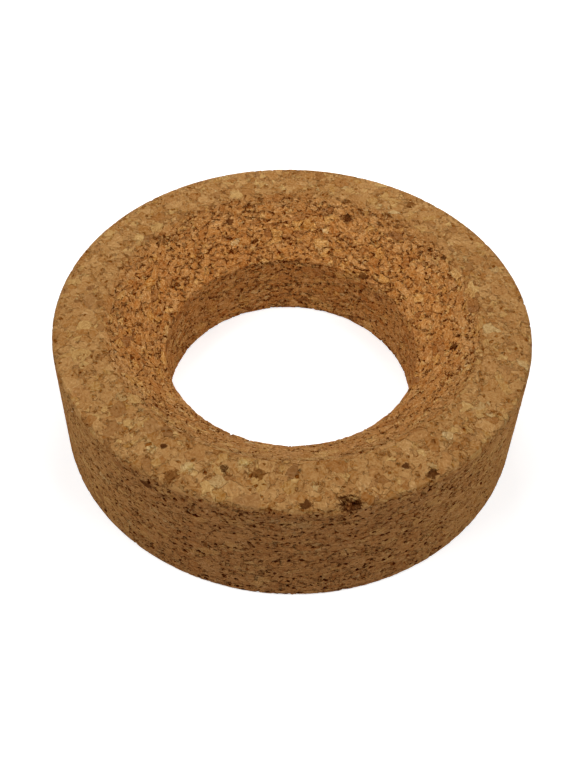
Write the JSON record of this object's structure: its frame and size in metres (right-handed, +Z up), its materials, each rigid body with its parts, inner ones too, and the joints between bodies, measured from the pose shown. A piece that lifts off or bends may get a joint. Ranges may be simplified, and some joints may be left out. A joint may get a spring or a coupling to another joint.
{
  "type": "cork ring",
  "caption": "Low ring of pressed cork granules with a sloped inner seat and a straight hole, which holds a round-bottomed flask upright on a bench.",
  "frame": {"origin": "centre of the foot, on the surface that the ring stands on", "axes": "+Z up along the axis of the ring, from the foot to the top face; X and Y are equal, because the ring is turned"},
  "size_m": [0.11, 0.11, 0.03],
  "materials": {
    "cork": "pressed cork granules, turned and lightly sanded, matt"
  },
  "bodies": {
    "root": {"cork_ring": "cork"}
  },
  "joints": []
}
